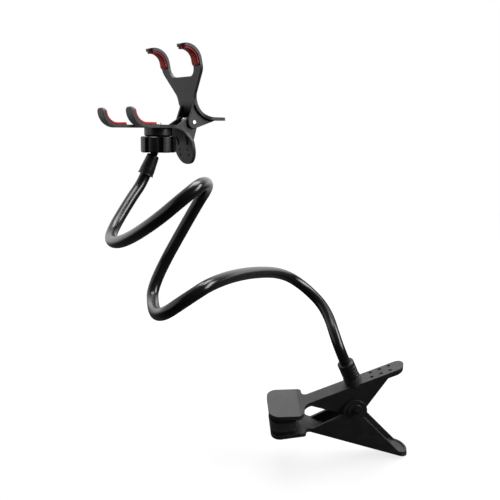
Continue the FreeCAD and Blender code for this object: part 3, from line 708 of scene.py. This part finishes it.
class HOLDER_OT_desk_pads(bpy.types.Operator):
    """Grip pads of the desk clip"""

    bl_idname = "holder.desk_pads"
    bl_label = "Desk pads"

    def execute(self, context):
        """Rings of the pad's rounded outline, drawn in by d: corner + (r - d)(cos t, sin t), at
        height z.  They run from the middle of the grip face out to its rounded edge, up the side,
        over the seat's edge and in to the middle of the seat."""
        sizes, colours = context.scene.holder_sizes, context.scene.holder_colours
        rubber = pad_finish(
            "desk_pad_rubber", list(colours.rubber), gloss=0.72, cells=1100.0, depth=0.2 * MM)
        height = sizes.desk_pad_height
        u, v, radius = np.array([
            (DESK_PAD_BACK, DESK_PAD_SIDE, DESK_PAD_BACK_CORNER),
            (DESK_PAD_FRONT, DESK_PAD_SIDE, DESK_PAD_FRONT_CORNER),
            (DESK_PAD_FRONT, -DESK_PAD_SIDE, DESK_PAD_FRONT_CORNER),
            (DESK_PAD_BACK, -DESK_PAD_SIDE, DESK_PAD_BACK_CORNER)]).T
        corners = np.stack([u - np.copysign(radius, u), v - np.copysign(radius, v)], -1)
        corners, radius = np.repeat(corners, CORNER_POINTS, 0), np.repeat(radius, CORNER_POINTS)
        quarter = np.linspace(0.0, np.pi / 2, CORNER_POINTS)
        turn = (np.arange(4)[:, None] * np.pi / 2 + quarter).ravel()
        outward = np.stack([np.cos(turn), np.sin(turn)], -1)
        grip, seat = np.linspace(-np.pi / 2, 0, GRIP_POINTS), np.linspace(0, np.pi / 2, SEAT_POINTS)
        inset = np.concatenate([GRIP_ROUND * (1 - np.cos(grip)), SEAT_ROUND * (1 - np.cos(seat))])
        level = np.concatenate([
            GRIP_ROUND * (1 + np.sin(grip)), height - SEAT_ROUND * (1 - np.sin(seat))])
        edge = corners + (radius - inset[:, None])[..., None] * outward
        levels = np.broadcast_to(level[:, None, None], (*edge.shape[:2], 1))
        side = np.concatenate([edge, levels], -1)
        middle = np.array([(DESK_PAD_FRONT + DESK_PAD_BACK) / 2, 0.0, 0.0])
        below, above = middle + [0, 0, level[0]], middle + [0, 0, level[-1]]
        rings = np.concatenate([
            side[:1] * FACE_SHARES + below * (1 - FACE_SHARES), side,
            side[-1:] * FACE_SHARES[::-1] + above * (1 - FACE_SHARES[::-1])])
        x, z = opened(rings[..., 0] - DESK_PIN[0], rings[..., 2] + DESK_PIN[2], DESK_OPENING)
        turned = DESK_PIN + np.stack([x, rings[..., 1], z], -1)
        for jaw, surface in (("upper", rings), ("lower", turned)):
            pad = closed_piece(f"desk_pad_{jaw}", surface)
            stand_in(pad, f"desk_{jaw}_pad", rubber)
        return {"FINISHED"}


class HOLDER_OT_mouldings(bpy.types.Operator):
    """Plastic finishes of the clips, the collar and the ball joint"""

    bl_idname = "holder.mouldings"
    bl_label = "Mouldings"

    def execute(self, context):
        colours, edge = context.scene.holder_colours, context.scene.holder_sizes.edge_round
        satin = moulded("satin_plastic", list(colours.satin), edge, gloss=0.5, depth=0.06 * MM)
        smooth = moulded("smooth_plastic", list(colours.smooth), edge, gloss=0.34, depth=0.03 * MM)
        liner = moulded("liner_plastic", list(colours.liner), edge, gloss=0.55, depth=0.04 * MM)
        paint(["desk_upper_jaw", "desk_lower_jaw", "clip_lower_jaw", "clip_upper_jaw"], satin)
        paint(["arm_collar", "ball_stem", "lock_nut", "socket_cup"], smooth)
        paint(["ball_liner"], liner)
        return {"FINISHED"}


class HOLDER_OT_metalwork(bpy.types.Operator):
    """Metal finishes of the pins and screws"""

    bl_idname = "holder.metalwork"
    bl_label = "Pins and screws"

    def execute(self, context):
        colours = context.scene.holder_colours
        bright = metal_finish("bright_steel", list(colours.steel), gloss=0.34)
        black = metal_finish("blackened_steel", list(colours.blackened), gloss=0.42, metallic=0.6)
        paint(["clip_hinge_pin", "collar_screw", "socket_screw"], bright)
        paint(["desk_hinge_pin"], black)
        return {"FINISHED"}


class HOLDER_OT_stage(bpy.types.Operator):
    """Pale floor, soft lamps, studio surroundings and the camera"""

    bl_idname = "holder.stage"
    bl_label = "Stage"

    def execute(self, context):
        scene, stage = context.scene, context.scene.holder_stage
        self.floor(list(scene.holder_colours.floor))
        self.surroundings()
        self.lamp("strip_lamp", stage.strip_power, turn=84.0, rise=33.0, size=(0.9, 0.42), roll=19)
        self.lamp("top_lamp", stage.top_power, turn=170.0, rise=64.0, size=(0.8, 0.7))
        self.lamp("left_lamp", stage.left_power, turn=-75.0, rise=20.0, size=(0.6, 0.6))
        self.camera(stage)
        scene.view_settings.view_transform = "Standard"
        return {"FINISHED"}

    def floor(self, colour):
        """A broad disc under the object, r (cos t, sin t).  The camera and glass see it as white,
        apart from the object's shadow, and mirrors see it as white behind the object.  Soft light
        comes back from it only a little, as from a table far below."""
        turn = np.linspace(0.0, 2 * np.pi, FLOOR_SIDES, endpoint=False)
        rim = FLOOR_RADIUS * np.stack([np.cos(turn), np.sin(turn), np.zeros_like(turn)], -1)
        rim[:, 2] = cad_box[0][2]
        mesh = bpy.data.meshes.new("floor")
        mesh.from_pydata(rim.tolist(), [], [list(range(len(rim)))])
        finish = new_finish("pale_floor")
        camera, mirror, glass = finish.ray_kinds()
        seen = (camera + glass).clipped()
        far = finish.length(finish.place()).stepped(*FLOOR_FADE)
        behind = finish.dot(finish.place(), MIRRORED_FLOOR_WAY).stepped(*MIRRORED_FLOOR_FADE)
        white = seen * (FLOOR_WHITE + (1.0 - FLOOR_WHITE) * far) + mirror * behind
        shade = finish.blend(seen, tinted(colour, FLOOR_RETURN), colour)
        matt = finish.add("ShaderNodeBsdfDiffuse", {}, {"Color": shade})
        glow = finish.add("ShaderNodeEmission", {}, {"Color": WHITE, "Strength": 1.0})
        mixed = finish.add("ShaderNodeMixShader", {}, {0: white.clipped(), 1: matt, 2: glow})
        finish.add("ShaderNodeOutputMaterial", {}, {"Surface": mixed})
        mesh.materials.append(finish.owner)
        floor = bpy.data.objects.new("floor", mesh)
        bpy.context.scene.collection.objects.link(floor)

    def surroundings(self):
        """White for the camera and for glass; for mirrors and as light, a bright backdrop behind
        the object and a dim room in front."""
        world = bpy.data.worlds.new("studio")
        bpy.context.scene.world = world
        finish = Finish(world)
        backdrop = finish.dot(finish.place("Generated"), BACKDROP_WAY).stepped(*BACKDROP_FADE)
        camera, mirror, glass = finish.ray_kinds()
        white = (camera + glass + mirror * backdrop).clipped()
        room = ROOM_LIGHT + BACKDROP_LIGHT * backdrop
        strength = room * (1.0 - white) + white
        light = finish.add("ShaderNodeBackground", {}, {"Color": WHITE, "Strength": strength})
        finish.add("ShaderNodeOutputWorld", {}, {"Surface": light})

    def lamp(self, name, power, turn, rise, size, roll=0):
        """A rectangular soft lamp that faces the object's middle from a turn (0 in front, 90 at the
        right) and a rise above the floor, in degrees; roll turns its long side up at one end."""
        light = bpy.data.lights.new(name, "AREA")
        light.shape = "RECTANGLE"
        light.size, light.size_y, light.energy = *size, power
        lamp = bpy.data.objects.new(name, light)
        around, above = math.radians(turn), math.radians(rise)
        level = math.cos(above)
        way = Vector((math.sin(around) * level, -math.cos(around) * level, math.sin(above)))
        middle = Vector(cad_box[0]).lerp(Vector(cad_box[1]), 0.5)
        lamp.location = middle + LAMP_DISTANCE * way
        lamp.rotation_mode = "QUATERNION"
        rolled = Quaternion((0, 0, 1), math.radians(roll))
        lamp.rotation_quaternion = way.to_track_quat("Z", "Y") @ rolled
        bpy.context.scene.collection.objects.link(lamp)

    def camera(self, stage):
        """A level camera that looks down and to the right by the stage's angles."""
        camera = bpy.data.objects.new("camera", bpy.data.cameras.new("camera"))
        bpy.context.scene.collection.objects.link(camera)
        down, turn = stage.camera_down, stage.camera_turn
        level = math.cos(down)
        ahead = Vector((math.sin(turn) * level, math.cos(turn) * level, -math.sin(down)))
        right = Vector((math.cos(turn), -math.sin(turn), 0.0))
        axes = Matrix((right, right.cross(ahead), -ahead)).transposed()
        camera.matrix_world = Matrix.Translation(stage.camera_place) @ axes.to_4x4()
        camera.data.sensor_width = 36.0
        camera.data.lens = stage.lens
        camera.data.clip_start, camera.data.clip_end = 0.01, 50.0
        bpy.context.scene.camera = camera


class HOLDER_PT_panel(bpy.types.Panel):
    """Lists the holder's pieces and settings"""

    bl_idname = "HOLDER_PT_panel"
    bl_label = "Desk phone holder"
    bl_space_type = "VIEW_3D"
    bl_region_type = "UI"
    bl_category = "Phone holder"

    def draw(self, context):
        for operator in OPERATORS:
            self.layout.operator(operator.bl_idname)
        for group in GROUPS:
            for name in GROUPS[group].__annotations__:
                self.layout.prop(getattr(context.scene, group), name)


GROUPS = {
    "holder_sizes": HolderSizes, "holder_colours": HolderColours, "holder_stage": StageSettings}
OPERATORS = (
    HOLDER_OT_stage, HOLDER_OT_arm_hose, HOLDER_OT_mouldings, HOLDER_OT_finger_pads,
    HOLDER_OT_desk_pads, HOLDER_OT_springs, HOLDER_OT_metalwork)
CLASSES = (*GROUPS.values(), *OPERATORS, HOLDER_PT_panel)


def register():
    for kind in CLASSES:
        bpy.utils.register_class(kind)
    for name, kind in GROUPS.items():
        setattr(bpy.types.Scene, name, PointerProperty(type=kind))


def unregister():
    for name in GROUPS:
        delattr(bpy.types.Scene, name)
    for kind in reversed(CLASSES):
        bpy.utils.unregister_class(kind)


def main():
    register()
    bpy.ops.holder.stage()
    bpy.ops.holder.arm_hose()
    bpy.ops.holder.mouldings()
    bpy.ops.holder.finger_pads()
    bpy.ops.holder.desk_pads()
    bpy.ops.holder.springs()
    bpy.ops.holder.metalwork()
    bpy.context.view_layer.update()


if __name__ == "__main__":
    main()
